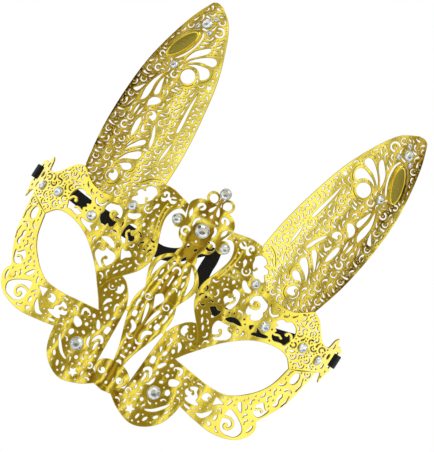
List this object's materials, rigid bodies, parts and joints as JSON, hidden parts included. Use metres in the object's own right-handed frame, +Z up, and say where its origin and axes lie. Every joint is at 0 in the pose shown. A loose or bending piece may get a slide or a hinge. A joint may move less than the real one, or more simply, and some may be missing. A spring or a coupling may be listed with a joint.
{
  "type": "venetian masquerade mask",
  "caption": "Gold filigree rabbit half-mask with tall lace-cut ears, set rhinestones and an elastic strap between winged temple tabs.",
  "frame": {"origin": "middle of the bridge on the level of the two strap bars, where the mask rests on the wearer's brow", "axes": "+Z up towards the ear tips, the front of the mask faces -Y, +X to the viewer's right"},
  "size_m": [0.1626, 0.0552, 0.1775],
  "materials": {
    "gilt_sheet": "polished",
    "gilt_matt": "satin",
    "crystal": "polished",
    "black_elastic": "matt",
    "black_thread": "matt"
  },
  "bodies": {
    "mask": {"brow_left": "gilt_sheet", "brow_right": "gilt_sheet", "cheek_left": "gilt_sheet", "cheek_right": "gilt_sheet", "ear_left": "gilt_sheet", "ear_right": "gilt_sheet", "temple_tab_left": "gilt_sheet", "temple_tab_right": "gilt_sheet", "crown_plate": "gilt_sheet", "nose_bridge": "gilt_sheet", "nose_shield": "gilt_sheet", "ear_medallion_left": "gilt_matt", "ear_medallion_right": "gilt_matt", "crown_top_stone": "crystal", "crown_centre_stone": "crystal", "crown_side_stone_left": "crystal", "crown_side_stone_right": "crystal", "upper_brow_stone_left": "crystal", "upper_brow_stone_right": "crystal", "brow_stone_left": "crystal", "brow_stone_right": "crystal", "inner_temple_stone_left": "crystal", "inner_temple_stone_right": "crystal", "outer_temple_stone_left": "crystal", "outer_temple_stone_right": "crystal", "cheek_stone_left": "crystal", "cheek_stone_right": "crystal", "ear_stone_left": "crystal", "ear_stone_right": "crystal", "ear_tip_stone_left": "crystal", "ear_tip_stone_right": "crystal", "ear_tip_chips_left": "crystal", "ear_tip_chips_right": "crystal", "strap_loop_left": "black_elastic", "strap_loop_right": "black_elastic"},
    "strap": {"strap_left": "black_elastic", "strap_right": "black_elastic", "strap_bar_tack": "black_thread"}
  },
  "joints": [
    {"name": "strap_swing", "type": "hinge", "parent": "mask", "child": "strap", "pos_m": [0, 0.05, 0], "axis": [1, 0, 0], "range_deg": [-75, 75]}
  ]
}
